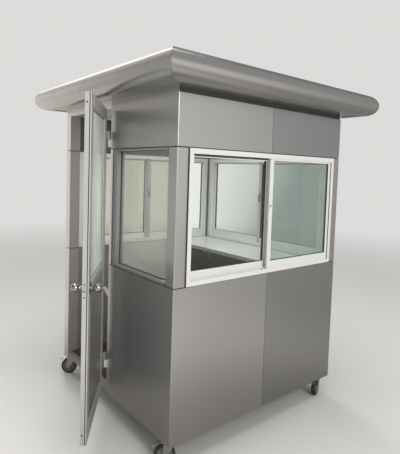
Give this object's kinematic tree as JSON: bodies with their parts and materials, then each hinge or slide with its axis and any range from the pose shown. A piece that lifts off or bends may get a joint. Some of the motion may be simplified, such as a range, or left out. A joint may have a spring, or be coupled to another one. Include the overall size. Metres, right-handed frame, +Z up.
{
  "type": "security guard booth",
  "caption": "Square metal-clad guard booth with sliding windows, a hinged glazed door, an eaves-wrapped roof and swivel casters.",
  "frame": {"origin": "on the ground, under the middle of the box round the booth with its door standing open as stored; the middle of the booth's own square plan is 136 mm from it along +X", "axes": "+Z up; -Y is the front with the wide sliding window; -X is the side with the door; +X is the side with the worktop"},
  "size_m": [2.1918, 1.9198, 2.33],
  "materials": {
    "cladding": "satin metallic grey composite panel",
    "white_aluminium": "white powder coat",
    "door_aluminium": "pale powder coat",
    "grey_aluminium": "grey anodised",
    "glass": "clear, faintly green",
    "galvanised_steel": "galvanised",
    "stainless": "satin stainless",
    "zinc": "bright zinc plate",
    "rubber": "black tread",
    "floor_sheet": "brown sheet",
    "worktop_board": "pale laminate",
    "ceiling_board": "off-white"
  },
  "bodies": {
    "booth": {"back_fascia": "cladding", "back_lower_wall": "cladding", "back_right_post": "cladding", "back_upper_wall": "cladding", "back_window_frame": "white_aluminium", "back_window_panes": "glass", "back_window_sashes": "white_aluminium", "base_frame": "galvanised_steel", "caster_plates": "zinc", "ceiling": "ceiling_board", "door_head": "cladding", "door_hinge_post": "cladding", "door_post": "cladding", "floor": "floor_sheet", "front_fascia": "cladding", "front_left_post": "cladding", "front_lower_wall": "cladding", "front_right_post": "cladding", "front_upper_wall": "cladding", "front_window_frame": "white_aluminium", "front_window_panes": "glass", "front_window_sashes": "white_aluminium", "hinge_jamb_halves": "white_aluminium", "left_fascia": "cladding", "left_lower_wall": "cladding", "left_upper_wall": "cladding", "left_window_frame": "grey_aluminium", "left_window_pane": "glass", "right_fascia": "cladding", "right_lower_wall": "cladding", "right_upper_wall": "cladding", "right_window_frame": "white_aluminium", "right_window_panes": "glass", "right_window_sashes": "white_aluminium", "roof_deck": "galvanised_steel", "roof_frame": "cladding", "soffit": "cladding", "threshold": "galvanised_steel", "worktop": "worktop_board"},
    "door": {"door_frame": "door_aluminium", "door_glass": "glass", "door_panel": "cladding", "door_roses": "stainless", "hinge_leaf_halves": "white_aluminium"},
    "knobs": {"door_knobs": "stainless"},
    "fork_front_left": {"caster_fork_front_left": "zinc"},
    "wheel_front_left": {"caster_wheel_front_left": "rubber"},
    "fork_front_right": {"caster_fork_front_right": "zinc"},
    "wheel_front_right": {"caster_wheel_front_right": "rubber"},
    "fork_back_right": {"caster_fork_back_right": "zinc"},
    "wheel_back_right": {"caster_wheel_back_right": "rubber"},
    "fork_back_left": {"caster_fork_back_left": "zinc"},
    "wheel_back_left": {"caster_wheel_back_left": "rubber"}
  },
  "joints": [
    {"name": "door_hinge", "type": "hinge", "parent": "booth", "child": "door", "pos_m": [-0.643, 0.005, 1.2], "axis": [0, 0, 1], "range_deg": [-146.2, 25]},
    {"name": "knob_turn", "type": "hinge", "parent": "door", "child": "knobs", "pos_m": [-1.01964, -0.501, 1.067], "axis": [-0.831, 0.5563, 0], "range_deg": [-60, 60], "stiffness_Nm_per_rad": 0.2},
    {"name": "swivel_front_left", "type": "hinge", "parent": "booth", "child": "fork_front_left", "pos_m": [-0.569, -0.705, 0.136], "axis": [0, 0, 1], "continuous": true},
    {"name": "roll_front_left", "type": "hinge", "parent": "fork_front_left", "child": "wheel_front_left", "pos_m": [-0.60191, -0.686, 0.0625], "axis": [-0.5, -0.866, 0], "continuous": true},
    {"name": "swivel_front_right", "type": "hinge", "parent": "booth", "child": "fork_front_right", "pos_m": [0.841, -0.705, 0.136], "axis": [0, 0, 1], "continuous": true},
    {"name": "roll_front_right", "type": "hinge", "parent": "fork_front_right", "child": "wheel_front_right", "pos_m": [0.80529, -0.718, 0.0625], "axis": [0.342, -0.9397, 0], "continuous": true},
    {"name": "swivel_back_right", "type": "hinge", "parent": "booth", "child": "fork_back_right", "pos_m": [0.841, 0.705, 0.136], "axis": [0, 0, 1], "continuous": true},
    {"name": "roll_back_right", "type": "hinge", "parent": "fork_back_right", "child": "wheel_back_right", "pos_m": [0.80529, 0.718, 0.0625], "axis": [-0.342, -0.9397, 0], "continuous": true},
    {"name": "swivel_back_left", "type": "hinge", "parent": "booth", "child": "fork_back_left", "pos_m": [-0.569, 0.705, 0.136], "axis": [0, 0, 1], "continuous": true},
    {"name": "roll_back_left", "type": "hinge", "parent": "fork_back_left", "child": "wheel_back_left", "pos_m": [-0.59724, 0.73043, 0.0625], "axis": [-0.6691, -0.7431, 0], "continuous": true}
  ]
}
